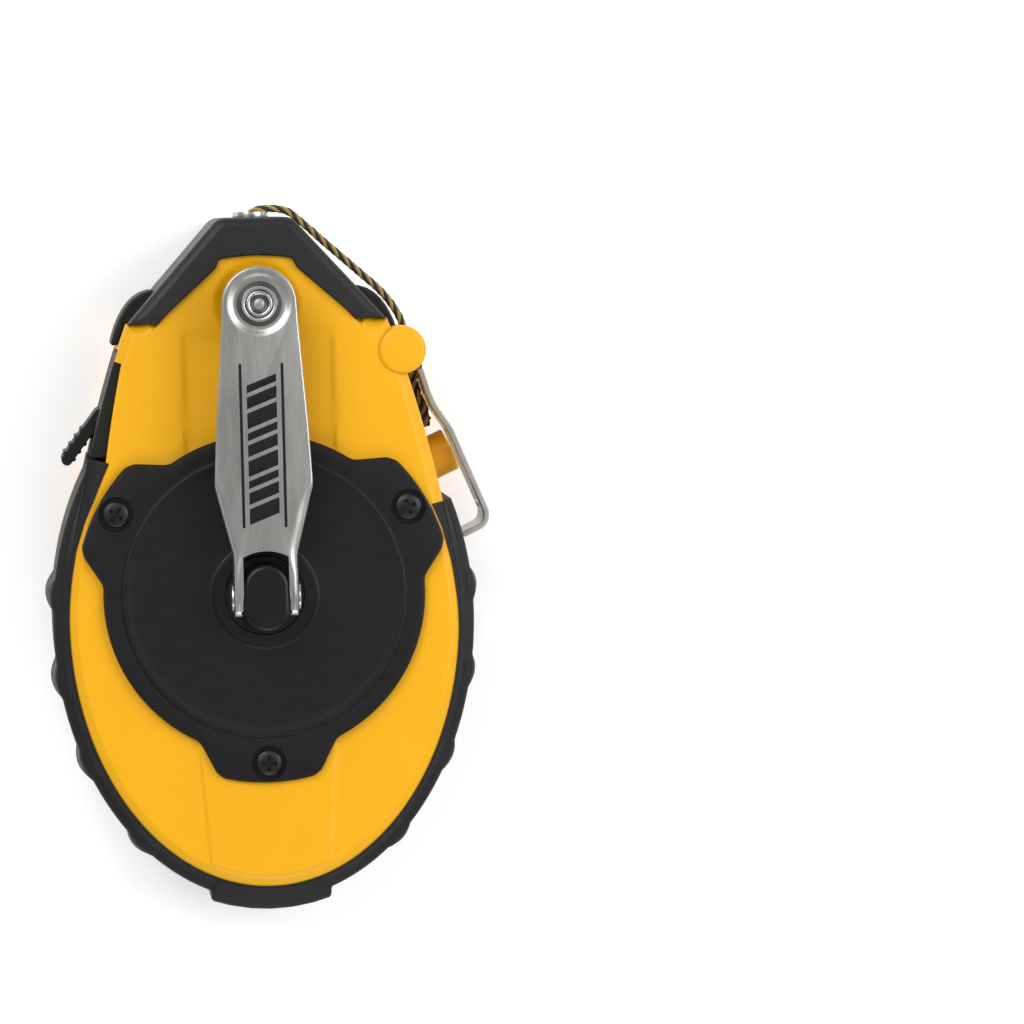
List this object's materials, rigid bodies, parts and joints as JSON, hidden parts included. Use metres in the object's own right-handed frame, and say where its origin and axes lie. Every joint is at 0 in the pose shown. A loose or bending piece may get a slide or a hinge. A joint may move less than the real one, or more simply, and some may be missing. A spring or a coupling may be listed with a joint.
{
  "type": "chalk line reel",
  "caption": "Hand chalk line reel with a folding crank, geared rewind, press clutch, side fill door and a hooked braided line, in a rubber edged case.",
  "frame": {"origin": "on the flat back of the case, under the crank axis", "axes": "+Z out of the crank side along the crank axis, +Y towards the nose where the line comes out, +X to the hook side"},
  "size_m": [0.0899, 0.1413, 0.0528],
  "materials": {
    "shell_plastic": "satin",
    "bumper_rubber": "matt",
    "nose_plastic": "fine texture",
    "cover_plastic": "fine satin",
    "crank_steel": "satin brushed",
    "bright_steel": "polished",
    "hook_steel": "bright zinc",
    "hub_metal": "black satin",
    "screw_steel": "black oxide",
    "gear_plastic": "natural acetal",
    "spool_plastic": "satin",
    "bush_brass": "satin",
    "knob_plastic": "satin",
    "button_plastic": "satin",
    "felt": "felt",
    "line_braid": "braided black and gold",
    "door_plastic": "satin"
  },
  "bodies": {
    "case": {"front_shell": "shell_plastic", "rear_shell": "shell_plastic", "front_bumper": "bumper_rubber", "rear_bumper": "bumper_rubber", "nose_cap_front": "nose_plastic", "nose_cap_rear": "nose_plastic", "corner_pads": "bumper_rubber", "line_guide": "bright_steel", "felt_wiper": "felt", "hook_post": "shell_plastic", "gear_cover": "cover_plastic", "cover_bush": "bush_brass", "cover_screws": "screw_steel", "case_screws": "screw_steel", "gear_housing": "spool_plastic", "ring_gear": "gear_plastic", "chalk_seal": "felt", "spool_shaft": "bright_steel", "thrust_washer": "gear_plastic", "line_lead": "line_braid", "door_pin": "bright_steel", "chalk_line": "line_braid"},
    "spool_drum": {"spool": "spool_plastic", "spool_bush": "bush_brass", "sun_gear": "gear_plastic", "line_winding": "line_braid"},
    "crank": {"crank_hub": "hub_metal", "planet_carrier": "gear_plastic", "planet_pins": "bright_steel", "retaining_clip": "screw_steel", "clutch_spring": "bright_steel"},
    "planet_1": {"planet_gear_1": "gear_plastic"},
    "planet_2": {"planet_gear_2": "gear_plastic"},
    "planet_3": {"planet_gear_3": "gear_plastic"},
    "button": {"clutch_button": "button_plastic", "clutch_pad": "bright_steel"},
    "arm": {"crank_arm": "crank_steel", "arm_pin": "bright_steel", "knob_rivet": "bright_steel", "knob_washer": "bright_steel"},
    "knob": {"crank_knob": "knob_plastic"},
    "door": {"chalk_door": "door_plastic", "door_seal": "bumper_rubber"},
    "hook": {"line_hook": "hook_steel", "line_knot": "line_braid"}
  },
  "joints": [
    {"name": "crank_turn", "type": "hinge", "parent": "case", "child": "crank", "pos_m": [0, 0, 0], "axis": [0, 0, 1], "continuous": true},
    {"name": "spool_turn", "type": "hinge", "parent": "case", "child": "spool_drum", "pos_m": [0, 0, 0], "axis": [0, 0, 1], "continuous": true},
    {"name": "planet_1_spin", "type": "hinge", "parent": "crank", "child": "planet_1", "pos_m": [0, 0.018, 0], "axis": [0, 0, 1], "continuous": true},
    {"name": "planet_2_spin", "type": "hinge", "parent": "crank", "child": "planet_2", "pos_m": [-0.01559, -0.009, 0], "axis": [0, 0, 1], "continuous": true},
    {"name": "planet_3_spin", "type": "hinge", "parent": "crank", "child": "planet_3", "pos_m": [0.01559, -0.009, 0], "axis": [0, 0, 1], "continuous": true},
    {"name": "arm_fold", "type": "hinge", "parent": "crank", "child": "arm", "pos_m": [0, 0, 0.0475], "axis": [1, 0, 0], "range_deg": [0, 180]},
    {"name": "knob_spin", "type": "hinge", "parent": "arm", "child": "knob", "pos_m": [0, 0.0582, 0.0475], "axis": [0, 0, 1], "continuous": true},
    {"name": "clutch_press", "type": "slide", "parent": "crank", "child": "button", "axis": [0, 0, -1], "range_m": [0, 0.0015], "stiffness_N_per_m": 900, "springref_m": -0.0012, "deforming": ["clutch_spring"]},
    {"name": "door_open", "type": "hinge", "parent": "case", "child": "door", "pos_m": [-0.02692, 0.04755, 0], "axis": [0, 0, -1], "range_deg": [0, 85]},
    {"name": "hook_swing", "type": "hinge", "parent": "case", "child": "hook", "pos_m": [0.0329, 0.0452, 0], "axis": [0, 0, 1], "range_deg": [0, 55]}
  ],
  "couplings": [
    {"joint": "spool_turn", "follows": "crank_turn", "ratio": 3},
    {"joint": "planet_1_spin", "follows": "crank_turn", "ratio": -4},
    {"joint": "planet_2_spin", "follows": "crank_turn", "ratio": -4},
    {"joint": "planet_3_spin", "follows": "crank_turn", "ratio": -4}
  ]
}
